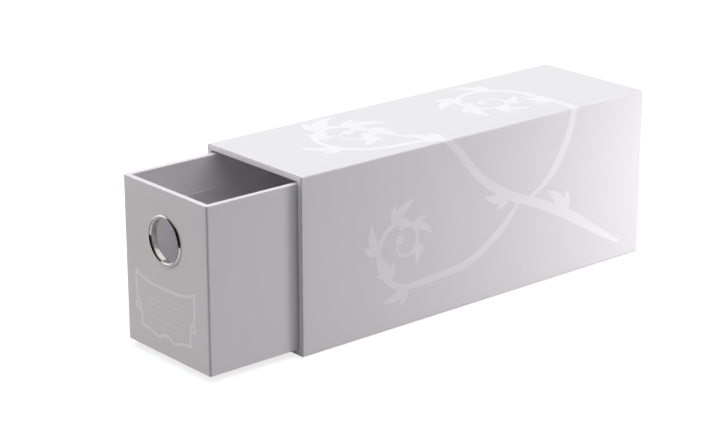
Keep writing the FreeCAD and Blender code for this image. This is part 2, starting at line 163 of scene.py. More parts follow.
# the folds are painted lighter here: partly wear from rubbing, partly a painted highlight on the edges
scuffs_and_highlight = ranged(paper_face, speckle(paper_face, where, 240, 4.0), 0, 1, 0.42, 0.66)
wear_and_highlight = place(paper_face, "ShaderNodeMath", {0: scuffs_and_highlight, 1: given["Fold"]},
               operation="MULTIPLY").outputs[0]
paper_face.links.new(blended(paper_face, wear_and_highlight, toned, given["Rubbed highlight colour"]), result["Colour"])
rough = ranged(paper_face, cloud, -0.03, 0.03, 0.3, 0.7)
rough = place(paper_face, "ShaderNodeMath", {0: rough, 1: given["Roughness"]}, operation="ADD").outputs[0]
rough = place(paper_face, "ShaderNodeMath", {0: wear_and_highlight, 1: -0.12, 2: rough},
              operation="MULTIPLY_ADD").outputs[0]
paper_face.links.new(rough, result["Roughness"])
height = place(paper_face, "ShaderNodeMath", {0: tooth, 1: given["Tooth"], 2: flock},
               operation="MULTIPLY_ADD").outputs[0]
paper_face.links.new(height, result["Height"])


def paper_material(name, colour, rubbed_highlight_colour, clouding, tooth, roughness, depth, **settings):
    """A paper finish; the mesh attribute "fold" says where a sheet is creased, and there its colour is
    lighter: wear, and a painted highlight.
    """
    material, tree, shader = start_material(name, **settings)
    fold = place(tree, "ShaderNodeAttribute", attribute_name="fold").outputs["Fac"]
    inputs = {"Colour": colour, "Rubbed highlight colour": rubbed_highlight_colour, "Clouding": clouding,
              "Tooth": tooth, "Roughness": roughness, "Fold": fold}
    face = tree.nodes.new("ShaderNodeGroup")
    face.node_tree = paper_face
    for label, value in inputs.items():
        if isinstance(value, bpy.types.NodeSocket):
            tree.links.new(value, face.inputs[label])
        else:
            face.inputs[label].default_value = value
    tree.links.new(face.outputs["Colour"], shader.inputs["Base Color"])
    tree.links.new(face.outputs["Roughness"], shader.inputs["Roughness"])
    embossed(tree, shader, face.outputs["Height"], depth)
    return material


# its lighter colour at the folds is wear from rubbing together with a painted highlight
wrap_paper = paper_material("laminated_wrap", PAPER, (0.875, 0.85, 0.872, 1), 0.018, 0.35,
                            FILM_ROUGHNESS, 0.000012)


class Outline:
    """A rounded rectangle, cut at the same shares of its sides however far it is drawn in."""

    CORNER_STEPS = 6
    TIGHTEST = 0.25        # a corner that is drawn in keeps this radius

    def __init__(self, half_p, half_q, radius, cuts_p, cuts_q):
        self.half = (half_p, half_q)
        self.radius = radius
        self.stations = []
        for side in range(4):
            straight = self.half[side % 2] - radius
            cuts = cuts_q if side % 2 else cuts_p
            shares = sorted({round(cut / straight, 5) for cut in cuts} | {-1.0, 1.0})
            if side >= 2:
                shares = [-share for share in reversed(shares)]
            self.stations += [(side, share, None) for share in shares]
            self.stations += [(side, None, step / self.CORNER_STEPS)
                              for step in range(1, self.CORNER_STEPS)]

    def at(self, station, inward):
        """The flat point of a station with the outline drawn in by a distance."""
        side, share, turn = station
        radius = max(self.radius - inward, self.TIGHTEST)
        edge = [half - inward for half in self.half]
        run = [half - radius for half in edge]
        if turn is None:
            point = (share * run[0], -edge[1]) if side % 2 == 0 else (edge[0], share * run[1])
            return point if side < 2 else (-point[0], -point[1])
        middle = ((run[0], -run[1]), (run[0], run[1]), (-run[0], run[1]), (-run[0], -run[1]))[side]
        angle = math.radians(90 * (side - 1 + turn))
        return middle[0] + radius * math.cos(angle), middle[1] + radius * math.sin(angle)


def spaced(first, last, step):
    """Even cuts between two places, ends included."""
    count = max(1, round(abs(last - first) / step))
    return [first + (last - first) * number / count for number in range(count + 1)]


def fold_rows(inward, along, radius, start, sweep, steps=4):
    """Rows round a fold of the sheet: (outer inward, outer along, inner inward, inner along)."""
    rows = []
    for step in range(steps + 1):
        angle = math.radians(start + sweep * step / steps)
        c, s = math.cos(angle), math.sin(angle)
        rows.append((max(LEVEL, inward + radius * c), along + radius * s,
                     inward + (radius - SHEET) * c, along + (radius - SHEET) * s))
    return rows


def build_sheet(name, rows, outline, put, kept, sink, crease, closed_end=False):
    """A closed skin of paper: rows run across it, the outline's stations run round it."""
    shell = bmesh.new()
    fold = shell.verts.layers.float.new("fold")
    grid = []
    for number, row in enumerate(rows):
        ring = []
        for station in outline.stations:
            flat = outline.at(station, row[0])
            drop = sink(number, station, flat)
            p, q = outline.at(station, row[0] + drop[0])
            outer = shell.verts.new(Vector(put(p, q, row[1] + drop[1])) * MM)
            outer[fold] = crease(number, station)
            p, q = outline.at(station, row[2])
            inner = shell.verts.new(Vector(put(p, q, row[3])) * MM)
            ring.append((outer, inner))
        grid.append(ring)
    around = len(outline.stations)
    present = {(i, j) for i in range(len(rows) - 1) for j in range(around)
               if kept(i, outline.stations[j])}
    for i, j in present:
        a, b, c, d = grid[i][j], grid[i][(j + 1) % around], grid[i + 1][(j + 1) % around], grid[i + 1][j]
        shell.faces.new((a[0], b[0], c[0], d[0]))
        shell.faces.new((d[1], c[1], b[1], a[1]))
        for (di, dj), first, last in (((-1, 0), a, b), ((0, 1), b, c), ((1, 0), c, d), ((0, -1), d, a)):
            beyond = (i + di, (j + dj) % around)
            if beyond not in present and not (closed_end and i + di == len(rows) - 1):
                shell.faces.new((last[0], first[0], first[1], last[1]))
    if closed_end:
        shell.faces.new([pair[0] for pair in grid[-1]])
        shell.faces.new([pair[1] for pair in reversed(grid[-1])])
    bmesh.ops.recalc_face_normals(shell, faces=shell.faces)
    return finish_mesh(name, shell)


def finish_mesh(name, shell, smooth_below=35):
    """Turn a bmesh into an object that is smooth but for its sharp edges."""
    loose = [vert for vert in shell.verts if not vert.link_faces]
    bmesh.ops.delete(shell, geom=loose, context="VERTS")
    mesh = bpy.data.meshes.new(name)
    shell.to_mesh(mesh)
    shell.free()
    mesh.polygons.foreach_set("use_smooth", [True] * len(mesh.polygons))
    mesh.set_sharp_from_angle(angle=math.radians(smooth_below))
    piece = bpy.data.objects.new(name, mesh)
    bpy.context.scene.collection.objects.link(piece)
    return piece


def pressed(x, y, z, depth):
    """How far the paper sinks where the glue drew it down: slow swells, never outward."""
    swell = noise.noise(Vector((x, y, z)) * 0.021) + 0.4 * noise.noise(Vector((z, x, y)) * 0.06)
    return depth * min(1.0, max(0.0, 0.5 + 0.6 * swell))


def eased(value, low, high):
    """0 below one limit, 1 above the other, with no corner between."""
    share = min(1.0, max(0.0, (value - low) / (high - low)))
    return share * share * (3 - 2 * share)


SLEEVE_HALF = 43.0
SLEEVE_LOW, SLEEVE_HIGH = 0.2, 107.0
SLEEVE_FRONT, SLEEVE_REAR = -138.0, 137.8
SLEEVE_EDGE = 1.0
BOARD_STEP = 3.0       # from the outside of a board to its inside
WRAP_FOLD = 0.4        # outer radius of the fold over a cut board
MOUTH_FOLD = 0.8       # and of the fold outside the mouth, where hands round the board off
SHOULDER = 0.12        # how far that fold sinks below the skin
TURN_IN, TURN_UNDER, TURN_BACK = 15.0, 15.0, 15.0
MITRE = 0.07           # depth of the seam where two turned edges meet at a corner

sleeve_middle = (SLEEVE_LOW + SLEEVE_HIGH) / 2
half_high = (SLEEVE_HIGH - SLEEVE_LOW) / 2
window_half = SLEEVE_HALF - TURN_UNDER
inner_step = BOARD_STEP + 2 * SHEET
cuts_across = spaced(-window_half, window_half, 7) + [-41.6, -38, -33, 33, 38, 41.6]
cuts_up = spaced(-46, 46, 7.6) + [-51.9, -50, 50, 51.9]
sleeve_outline = Outline(SLEEVE_HALF, half_high, SLEEVE_EDGE, cuts_across, cuts_up)

mouth_rows = [(inner_step, SLEEVE_FRONT + y, BOARD_STEP + SHEET, SLEEVE_FRONT + y)
              for y in (TURN_IN, 5, 1)]
mouth_fold = fold_rows(inner_step - WRAP_FOLD, SLEEVE_FRONT + WRAP_FOLD, WRAP_FOLD, 0, -90)
rim_start = len(mouth_rows + mouth_fold) - 1
rim_rows = [(step, SLEEVE_FRONT, step, SLEEVE_FRONT + SHEET) for step in (2.5, 1.9, 1.4)]
outer_fold = fold_rows(MOUTH_FOLD + SHOULDER, SLEEVE_FRONT + MOUTH_FOLD, MOUTH_FOLD, -90, -90, 6)
run_rows = [(LEVEL + rounded, SLEEVE_FRONT + y, SHEET, SLEEVE_FRONT + y)
            for y, rounded in ((1.7, 0.06), (3, 0.02), (5, 0.0))]
run_places = spaced(SLEEVE_FRONT + TURN_UNDER, SLEEVE_REAR - TURN_UNDER, 9)
run_rows += [(LEVEL, y, SHEET, y) for y in run_places + [SLEEVE_REAR - 5, SLEEVE_REAR - 1]]
rear_fold = fold_rows(WRAP_FOLD, SLEEVE_REAR - WRAP_FOLD, WRAP_FOLD, 180, -90)
back_rows = [(step, SLEEVE_REAR, step, SLEEVE_REAR - SHEET) for step in (1.0, 4.0, 9.0, TURN_BACK)]
sleeve_rows = mouth_rows + mouth_fold + rim_rows + outer_fold + run_rows + rear_fold + back_rows
run_start = rim_start + 1 + len(rim_rows) + len(outer_fold)
run_end = run_start + len(run_rows)


def sleeve_sink(number, station, flat):
    """How far a point of the sleeve's skin sinks: inward, and along its row."""
    side, share, turn = station
    if run_start <= number < run_end and turn is None:
        y = sleeve_rows[number][1]
        away = min(y - SLEEVE_FRONT, SLEEVE_REAR - y)
        across = (1 - abs(share)) * (SLEEVE_HALF if side % 2 == 0 else half_high)
        fade = eased(away, 3, 18) * eased(across, 0.6, 12)
        return pressed(flat[0], y, flat[1], 0.06) * fade, 0.0
    if rim_start < number <= rim_start + len(rim_rows) and turn == 0.5:
        return 0.0, MITRE
    return 0.0, 0.0


def sleeve_crease(number, station):
    """1 where the sleeve's skin is folded, worn by rubbing and painted lighter as a highlight."""
    on_corner = station[2] is not None
    at_mouth = len(mouth_rows) <= number <= rim_start or run_start - len(outer_fold) <= number < run_start
    at_rear = run_end <= number < run_end + len(rear_fold)
    return 1.0 if on_corner or at_mouth or at_rear else 0.0


def sleeve_kept(number, station):
    """The base is left open between the turned edges, where the base sheet goes."""
    side, share, turn = station
    if side != 0 or turn is not None:
        return True
    y = sleeve_rows[number][1]
    next_y = sleeve_rows[number + 1][1]
    on_base = run_start <= number < run_end
    inside = SLEEVE_FRONT + TURN_UNDER - 0.01 <= y and next_y <= SLEEVE_REAR - TURN_UNDER + 0.01
    limit = window_half / (SLEEVE_HALF - SLEEVE_EDGE) - 1e-4
    return not (on_base and inside and -limit - 2e-4 <= share < limit)


sleeve_wrap = build_sheet("sleeve_wrap_paper", sleeve_rows, sleeve_outline,
                          lambda p, q, y: (p, y, q + sleeve_middle),
                          sleeve_kept, sleeve_sink, sleeve_crease)
sleeve_wrap.data.materials.append(wrap_paper)
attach(sleeve_wrap, "sleeve")
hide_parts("sleeve_wrap")

# ---------------------------------------------------------------- base and rear sheets
# Two flat sheets of the same laminated paper, cut a little small and glued over the
# turned edges of the wrap, under the base and on the back.

for name in ("sleeve_base_sheet", "sleeve_rear_sheet"):
    cover(nodes[name], wrap_paper)

# ---------------------------------------------------------------- linings
# Uncoated paper glued inside both carcasses after the wraps are turned in. It is matt,
# a little greyer than the wrap, and shows its fibre.

LINING = (0.80, 0.765, 0.795, 1)
lining_paper = paper_material("lining", LINING, (0.8, 0.765, 0.79, 1), 0.04, 0.9, 0.78, 0.00003,
                              Specular_IOR_Level=0.3)

for name in ("sleeve_lining", "sleeve_rear_lining", "drawer_wall_lining", "drawer_floor_lining"):
    cover(nodes[name], lining_paper)

# ---------------------------------------------------------------- print on the sleeve
# A vine scroll in pale pearl ink, screen-printed over the top and the right side
# before the sheet was wrapped, so it runs unbroken round the long edge.

LEAF_STEPS = 14
INK_THICK, INK_ROOT = 0.018, 0.06      # above and below the face of the paper
INK_REACH = 0.5                        # how far from the nominal skin the paper is looked for
BEND = SLEEVE_EDGE * math.pi / 4       # half the paper that lies round the long edge


def curve_through(points, steps=8):
    """A smooth line through the given points of a flat drawing."""
    line = []
    ends = [points[0]] + list(points) + [points[-1]]
    for before, start, end, after in zip(ends, ends[1:], ends[2:], ends[3:]):
        for step in range(steps):
            t = step / steps
            line.append(tuple(
                0.5 * (2 * start[k] + (end[k] - before[k]) * t
                       + (2 * before[k] - 5 * start[k] + 4 * end[k] - after[k]) * t ** 2
                       + (3 * start[k] - before[k] - 3 * end[k] + after[k]) * t ** 3)
                for k in range(2)))
    line.append(tuple(points[-1]))
    return line


def volute(centre, wide, narrow, begin, sweep):
    """Points round a spiral that closes from one radius to another; angles in degrees."""
    count = max(4, round(abs(sweep) / 24))
    points = []
    for step in range(count + 1):
        share = step / count
        angle = math.radians(begin + sweep * share)
        radius = wide * (narrow / wide) ** share
        points.append((centre[0] + radius * math.cos(angle), centre[1] + radius * math.sin(angle)))
    return points


def brush(line, width):
    """The quads of one brush stroke; width gives its breadth from 0 to 1 along the line."""
    lengths = [0.0]
    for first, last in zip(line, line[1:]):
        lengths.append(lengths[-1] + math.dist(first, last))
    sides = []
    for number, point in enumerate(line):
        before, after = line[max(number - 1, 0)], line[min(number + 1, len(line) - 1)]
        run = math.dist(before, after) or 1.0
        across = (-(after[1] - before[1]) / run, (after[0] - before[0]) / run)
        half = width(lengths[number] / lengths[-1]) / 2
        sides.append(((point[0] - across[0] * half, point[1] - across[1] * half),
                      (point[0] + across[0] * half, point[1] + across[1] * half)))
    return [(a[0], b[0], b[1], a[1]) for a, b in zip(sides, sides[1:])]


def stem(points, root, eye):
    """A stem that thins along a power curve and closes on a round bud."""
    line = curve_through(points)
    faces = brush(line, lambda share: root * (1 - share) ** 0.7 * min(1.0, 0.25 + 6 * share) + 0.9)
    if eye:
        faces.append(disc(line[-1], eye))
    return line, faces


def disc(centre, radius, sides=20):
    """A round dot of ink."""
    turn = 2 * math.pi / sides
    return tuple((centre[0] + radius * math.cos(turn * k), centre[1] + radius * math.sin(turn * k))
                 for k in range(sides))


def leaf(line, share, side, length, breadth, lean=52, curl=-60):
    """A pointed leaf that springs from a stem and curls back along it."""
    number = int(share * (len(line) - 1))
    root = line[number]
    ahead = line[min(number + 1, len(line) - 1)]
    heading = math.atan2(ahead[1] - root[1], ahead[0] - root[0]) + math.radians(side * lean)
    points = [root]
    for step in range(LEAF_STEPS):
        points.append((points[-1][0] + length / LEAF_STEPS * math.cos(heading),
                       points[-1][1] + length / LEAF_STEPS * math.sin(heading)))
        heading += math.radians(side * curl / LEAF_STEPS)
    return brush(points, lambda part: 0.5 * (1 - part) + breadth * math.sin(math.pi * part ** 0.8) ** 1.3)


def sprig(line, share, side, size):
    """Three lobes from one root: a long middle leaf between two short ones."""
    return (leaf(line, share, side, size, size * 0.26, 42, -50)
            + leaf(line, share, side, size * 0.62, size * 0.2, 78, -30)
            + leaf(line, share, side, size * 0.55, size * 0.16, 12, -60))


# The flat drawing is in millimetres: along the sleeve from its mouth, and across from the
# long edge, with the top on the minus side and the right side on the plus side.
vine_faces = []

# main stem: low at the rear of the side, up over the edge, round a volute on the top
main_points = [(258, 96), (238, 84), (212, 68), (186, 55), (160, 44), (136, 28), (116, 6), (98, -8)]
main_points += volute((74, -45), 33, 5.0, 88, 560)
main, faces = stem(main_points, 6.4, 3.6)
vine_faces += faces

# rear stem: springs from the main one, up over the edge to a volute at the top's rear
rear_points = [(176, 51), (196, 38), (210, 16), (216, -10)]
rear_points += volute((184, -43), 32, 5.0, 14, -540)
rear, faces = stem(rear_points, 5.4, 3.2)
vine_faces += faces

# low stem: forward and down the side to a volute near its front
low_points = [(170, 49), (152, 66), (128, 79), (104, 82)]
low_points += volute((76, 56), 27, 4.5, 84, 500)
low, faces = stem(low_points, 5.0, 2.8)
vine_faces += faces

# leaves on each stem: place along it, side of it, and size in millimetres
main_sprigs = ((0.07, 1, 26), (0.13, -1, 22), (0.21, 1, 30), (0.33, -1, 26), (0.40, 1, 24), (0.46, -1, 34),
               (0.535, -1, 30), (0.61, -1, 26), (0.69, -1, 22), (0.56, 1, 15), (0.65, 1, 13))
rear_sprigs = ((0.13, -1, 24), (0.25, 1, 26), (0.37, 1, 28), (0.46, 1, 26), (0.56, 1, 24), (0.66, 1, 19),
               (0.42, -1, 15))
low_sprigs = ((0.16, -1, 22), (0.31, -1, 22), (0.42, -1, 22), (0.53, -1, 18), (0.64, -1, 15),
              (0.22, 1, 22), (0.45, 1, 12))
for line, sprigs in ((main, main_sprigs), (rear, rear_sprigs), (low, low_sprigs)):
    for share, side, size in sprigs:
        vine_faces += sprig(line, share, side, size)


def join_faces(faces, lines):
    """One flat mesh of overlapping faces, cut along some lines: its points and its faces."""
    points, index, loops = [], {}, []
    for face in faces:
        loop = []
        for point in face:
            key = (round(point[0], 4), round(point[1], 4))
            if key not in index:
                index[key] = len(points)
                points.append(Vector(key))
            if index[key] not in loop:
                loop.append(index[key])
        if len(loop) > 2:
            loops.append(loop)
    cuts = []
    for first, last in lines:
        cuts.append((len(points), len(points) + 1))
        points += [Vector(first), Vector(last)]
    made = delaunay_2d_cdt(points, cuts, loops, 0, 1e-5, True)
    flat, triangles, owners = made[0], made[2], made[5]
    return flat, [triangle for triangle, owner in zip(triangles, owners)
                  if any(number < len(loops) for number in owner)]


def ink_layer(name, faces, lines, paper, ink, put):
    """Print a flat drawing on the paper as a thin closed layer.

    lines are cuts along a bend, and put gives the place of a flat point at a height."""
    flat, triangles = join_faces(faces, lines)
    bpy.context.view_layer.update()
    sheet = BVHTree.FromObject(paper, bpy.context.evaluated_depsgraph_get())
    layer = bmesh.new()
    upper, lower = [], []
    for point in flat:
        above, below = (Vector(put(point.x, point.y, rise)) * MM for rise in (INK_REACH, -INK_REACH))
        inward = (below - above).normalized()
        hit = sheet.ray_cast(above, inward, 2 * INK_REACH * MM)[0]
        face = hit or (above + below) / 2 + inward * LEVEL * MM
        upper.append(layer.verts.new(face - inward * INK_THICK * MM))
        lower.append(layer.verts.new(face + inward * INK_ROOT * MM))
    sides = {}
    for triangle in triangles:
        layer.faces.new([upper[number] for number in triangle])
        layer.faces.new([lower[number] for number in reversed(triangle)])
        for first, last in zip(triangle, triangle[1:] + triangle[:1]):
            sides[(first, last)] = True
    for first, last in sides:
        if (last, first) not in sides:
            layer.faces.new((upper[last], upper[first], lower[first], lower[last]))
    bmesh.ops.recalc_face_normals(layer, faces=layer.faces)
    piece = finish_mesh(name, layer)
    piece.data.materials.append(ink)
    return piece


def round_the_edge(along, across, rise):
    """From the flat printed sheet to the wrapped sleeve."""
    radius = SLEEVE_EDGE + rise
    y = SLEEVE_FRONT + along
    if across < -BEND:
        return SLEEVE_HALF - SLEEVE_EDGE + across + BEND, y, SLEEVE_HIGH + rise
    if across > BEND:
        return SLEEVE_HALF + rise, y, SLEEVE_HIGH - SLEEVE_EDGE - across + BEND
    angle = (across + BEND) / SLEEVE_EDGE
    return (SLEEVE_HALF - SLEEVE_EDGE + radius * math.sin(angle), y,
            SLEEVE_HIGH - SLEEVE_EDGE + radius * math.cos(angle))


def pearl_ink(name, thin, thick):
    """Screen ink that lies a little thicker in places."""
    ink, tree, shader = start_material(name, Specular_IOR_Level=0.1)
    where = place(tree, "ShaderNodeTexCoord").outputs["Object"]
    flow = speckle(tree, where, 700, 2.0)
    pooling = speckle(tree, where, 60, 3.0)
    tree.links.new(blended(tree, pooling, thin, thick), shader.inputs["Base Color"])
    tree.links.new(ranged(tree, flow, 0.36, 0.44), shader.inputs["Roughness"])
    embossed(tree, shader, flow, 0.000006)
    return ink


vine_pearl = pearl_ink("pearl_ink", (0.945, 0.915, 0.94, 1), (0.965, 0.935, 0.96, 1))

# the print bends along five lines that run past both ends of the sleeve
bend_lines = [((-1.0, BEND * share), (280.0, BEND * share)) for share in (-1, -0.5, 0, 0.5, 1)]
vine_ink = ink_layer("vine_ink", vine_faces, bend_lines, sleeve_wrap, vine_pearl, round_the_edge)
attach(vine_ink, "sleeve")

# ---------------------------------------------------------------- drawer wrap
# A cross-shaped sheet of the same paper, glued under the floor, up the walls, over the
# rims and down inside. Its corner tabs lie under the side panels and show as a faint
# line, and the finger hole is punched through it.

DRAWER_HALF = 38.9
DRAWER_FRONT, DRAWER_REAR = -200.0, 72.0
DRAWER_LOW, DRAWER_HIGH = 3.9, 102.3
DRAWER_CORNER = 1.4
DRAWER_TURN_IN = 23.4
TAB = 16.0             # from an upright corner to the edge of the tab under the side
TAB_STEP = 0.08        # how far the skin drops beyond that edge
HOLE_HEIGHT = 72.9
HOLE_RADIUS = 13.0
RECESS_RADIUS = 15.3   # room for the washer behind the hole

drawer_middle = (DRAWER_FRONT + DRAWER_REAR) / 2
half_long = (DRAWER_REAR - DRAWER_FRONT) / 2
tab_cuts = [half_long - TAB + step for step in (-3.5, -2.0, -1.0, -0.4, 0.1, 0.6)]
cuts_long = spaced(-112, 112, 9) + [-half_long + 2, -half_long + 6, -half_long + 11]
cuts_long += [half_long - 2, half_long - 6, half_long - 11] + tab_cuts + [-cut for cut in tab_cuts]
drawer_outline = Outline(DRAWER_HALF, half_long, DRAWER_CORNER,
                         spaced(-32, 32, 8) + [-36.6, -35, 35, 36.6], cuts_long)

rim = DRAWER_HIGH
inside_rows = [(inner_step, rim - down, BOARD_STEP + SHEET, rim - down) for down in (DRAWER_TURN_IN, 8, 1)]
inside_fold = fold_rows(inner_step - WRAP_FOLD, rim - WRAP_FOLD, WRAP_FOLD, 0, 90)
top_rows = [(step, rim, step, rim - SHEET) for step in (2.4, 1.7, 1.0)]
top_fold = fold_rows(WRAP_FOLD, rim - WRAP_FOLD, WRAP_FOLD, 90, 90)
wall_places = [rim - 1, rim - 4] + spaced(rim - 10, DRAWER_LOW + 10, 8)
wall_rows = [(LEVEL, z, SHEET, z) for z in wall_places + [DRAWER_LOW + 4, DRAWER_LOW + 1]]
foot_fold = fold_rows(WRAP_FOLD, DRAWER_LOW + WRAP_FOLD, WRAP_FOLD, 180, 90)
floor_rows = [(step, DRAWER_LOW, step, DRAWER_LOW + SHEET) for step in (1.0, 4.0, 12.0, 25.0)]
drawer_rows = inside_rows + inside_fold + top_rows + top_fold + wall_rows + foot_fold + floor_rows
top_start = len(inside_rows + inside_fold)
top_end = top_start + len(top_rows)
wall_start = top_end + len(top_fold)
wall_end = wall_start + len(wall_rows)


def drawer_sink(number, station, flat):
    """How far a point of the drawer's skin sinks, the edges of the tabs included."""
    side, share, turn = station
    if wall_start <= number < wall_end and turn is None:
        z = drawer_rows[number][1]
        away = min(rim - z, z - DRAWER_LOW)
        if side % 2 == 0:
            from_hole = math.hypot(flat[0], z - HOLE_HEIGHT) if side == 0 else 99
            fade = eased(from_hole, 27, 40) * eased((1 - abs(share)) * DRAWER_HALF, 0.6, 10)
            return pressed(flat[0], 40, z, 0.05) * fade * eased(away, 3, 14), 0.0
        from_corner = (1 - abs(share)) * half_long
        tab = TAB_STEP * eased(from_corner, TAB - 0.5, TAB + 0.7) * eased(away, 1.5, 6)
        fade = eased(from_corner, 0.6, 12) * eased(away, 3, 14)
        return tab + pressed(flat[0], flat[1], z, 0.05) * fade, 0.0
    if top_start <= number < top_end and turn == 0.5:
        return 0.0, -MITRE
    return 0.0, 0.0


def drawer_crease(number, station):
    """1 where the drawer's skin is folded, worn by rubbing and painted lighter as a highlight."""
    on_corner = station[2] is not None
    over_rim = len(inside_rows) <= number < top_start or top_end <= number < wall_start
    at_foot = wall_end <= number < wall_end + len(foot_fold)
    return 1.0 if on_corner or over_rim or at_foot else 0.0


drawer_wrap = build_sheet("drawer_wrap_paper", drawer_rows, drawer_outline,
                          lambda p, q, z: (p, q + drawer_middle, z),
                          lambda number, station: True, drawer_sink, drawer_crease, closed_end=True)


def punch(piece, radius, height, front, back):
    """Punch a round hole, which faces forward, through a piece."""
    tool = bmesh.new()
    middle = Matrix.Translation((0, (front + back) / 2 * MM, height * MM))
    bmesh.ops.create_cone(tool, cap_ends=True, segments=96, radius1=radius * MM, radius2=radius * MM,
                          depth=(back - front) * MM, matrix=middle @ Matrix.Rotation(math.pi / 2, 4, "X"))
    punch_tool = finish_mesh("punch", tool)
    cut = piece.modifiers.new("hole", "BOOLEAN")
    cut.operation = "DIFFERENCE"
    cut.solver = "EXACT"
    cut.object = punch_tool
    bpy.context.view_layer.update()
    seen = bpy.context.evaluated_depsgraph_get()
    mesh = bpy.data.meshes.new_from_object(piece.evaluated_get(seen))
    mesh.set_sharp_from_angle(angle=math.radians(35))
    piece.modifiers.clear()
    piece.data = mesh
    bpy.data.objects.remove(punch_tool)


# the finger hole, and the wider recess behind it that takes the washer
punch(drawer_wrap, HOLE_RADIUS, HOLE_HEIGHT, DRAWER_FRONT - 5, DRAWER_FRONT + 2)
punch(drawer_wrap, RECESS_RADIUS, HOLE_HEIGHT, DRAWER_FRONT + 2, DRAWER_FRONT + 8)
drawer_wrap.data.materials.clear()
drawer_wrap.data.materials.append(wrap_paper)
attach(drawer_wrap, "drawer")
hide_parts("drawer_wrap")

# ---------------------------------------------------------------- label on the drawer
# A scroll frame with blank ruled lines, to be written on, screen-printed below the finger
# hole in a slightly heavier coat of pearl ink. Its upper sides end in small curls.

STROKE = 1.8           # breadth of the frame's lines
CURL = 2.0             # breadth of the curls
RULE = 0.22            # breadth of the ruled lines
RULES, TOP_RULE, RULE_PITCH, RULE_HALF = 6, 38.8, 3.7, 17.5
LABEL_X = -1.7         # the frame's middle stands a little left of the hole's


def even(width):
    """The breadth of a line that is as wide all along."""
    return lambda share: width


top_edge = [(0.0, 43.8), (6.0, 43.8), (12.5, 44.0), (18.5, 44.9), (23.5, 46.3), (27.5, 48.0)]
upper_side = [(27.5, 48.0), (27.5, 43.0), (27.3, 37.0), (26.9, 33.0), (25.9, 29.9)]
# a small open loop at the foot of each upper side
curl = [(25.8 + 2.0 * math.cos(math.radians(angle)), 27.6 + 2.2 * math.sin(math.radians(angle)))
        for angle in range(90, 451, 30)]
lower_side = [(24.3, 26.3), (23.2, 23.8), (22.9, 21.0), (22.9, 16.4)]
base_edge = [(22.9, 16.4), (19.0, 16.1), (15.2, 15.5), (11.0, 14.4), (8.2, 13.6), (6.2, 13.7),
             (3.9, 14.9), (1.8, 16.0), (0.0, 16.3)]

label_faces = []
for mirror in (-1, 1):
    for points, width in ((top_edge, STROKE), (upper_side, STROKE), (curl, CURL), (lower_side, STROKE),
                          (base_edge, STROKE)):
        line = curve_through([(LABEL_X + mirror * x, z) for x, z in points], 6)
        label_faces += brush(line, even(width))
    for x, z in (top_edge[-1], upper_side[-1], lower_side[0], lower_side[-1]):
        label_faces.append(disc((LABEL_X + mirror * x, z), STROKE / 2))
for number in range(RULES):
    z = TOP_RULE - RULE_PITCH * number
    label_faces += brush([(LABEL_X + x, z) for x in (-RULE_HALF, 0, RULE_HALF)], even(RULE))

label_pearl = pearl_ink("label_pearl_ink", (0.97, 0.94, 0.965, 1), (0.985, 0.955, 0.98, 1))
label_ink = ink_layer("label_ink", label_faces, (), drawer_wrap, label_pearl,
                      lambda x, z, rise: (x, DRAWER_FRONT - rise, z))
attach(label_ink, "drawer")

# ---------------------------------------------------------------- finger ring
# Pressed from sheet steel and nickel-plated: a domed flange, a barrel through the front
# and a lip rolled outward over the washer, flush with the lining. The plating is bright,
# with fine wiping marks.

RING_BORE, RING_METAL, RING_FLANGE = 12.5, 0.4, 15.0
CROWN, NOSE = 1.1, 1.2         # height of the dome, and the radius that turns it into the bore
BARREL_CUTS = (-0.8, -1.7)
LIP_BACK, LIP_ROLL = -3.6, 1.0
LIP_REACH, LIP_EASE, LIP_HOLLOW = 14.0, 0.15, 0.2


def turned_piece(name, section, sides=144):
    """Turn a closed section of (radius, height before the panel) about the hole's axis."""
    solid = bmesh.new()
    rings = []
    for side in range(sides):
        angle = 2 * math.pi * side / sides
        rings.append([solid.verts.new(Vector((radius * math.cos(angle), DRAWER_FRONT - height,
                                              HOLE_HEIGHT + radius * math.sin(angle))) * MM)
                      for radius, height in section])
    count = len(section)
    for side in range(sides):
        near, far = rings[side], rings[(side + 1) % sides]
        for number in range(count):
            after = (number + 1) % count
            solid.faces.new((near[number], near[after], far[after], far[number]))
    bmesh.ops.recalc_face_normals(solid, faces=solid.faces)
    return finish_mesh(name, solid, 50)


def arc(middle, radius, first, last, steps):
    """Points of an arc in the section; angles in degrees from straight outward."""
    return [(middle[0] + radius * math.cos(math.radians(first + (last - first) * step / steps)),
             middle[1] + radius * math.sin(math.radians(first + (last - first) * step / steps)))
            for step in range(steps + 1)]


# the flange's face is one wide arc, which a tight one turns into the barrel
crown_run = RING_FLANGE - RING_BORE - NOSE
dome = (crown_run ** 2 + CROWN ** 2) / (2 * CROWN)
dome_start = math.degrees(math.atan2(dome - CROWN, crown_run))
section = arc((RING_BORE + NOSE, CROWN - dome), dome, dome_start, 90, 14)
section += arc((RING_BORE + NOSE, CROWN - NOSE), NOSE, 90, 180, 12)[1:]
section += [(RING_BORE, height) for height in BARREL_CUTS]
section += arc((RING_BORE + LIP_ROLL, LIP_BACK + LIP_ROLL), LIP_ROLL, 180, 270, 12)
section += arc((LIP_REACH - LIP_EASE, LIP_BACK + LIP_EASE), LIP_EASE, -90, 0, 4)
section += [(LIP_REACH, LIP_BACK + RING_METAL)]
section += arc((RING_BORE + RING_METAL + LIP_HOLLOW, LIP_BACK + RING_METAL + LIP_HOLLOW), LIP_HOLLOW,
               270, 180, 4)
section += [(RING_BORE + RING_METAL, 0.0)]

finger_ring = turned_piece("nickel_finger_ring", section)

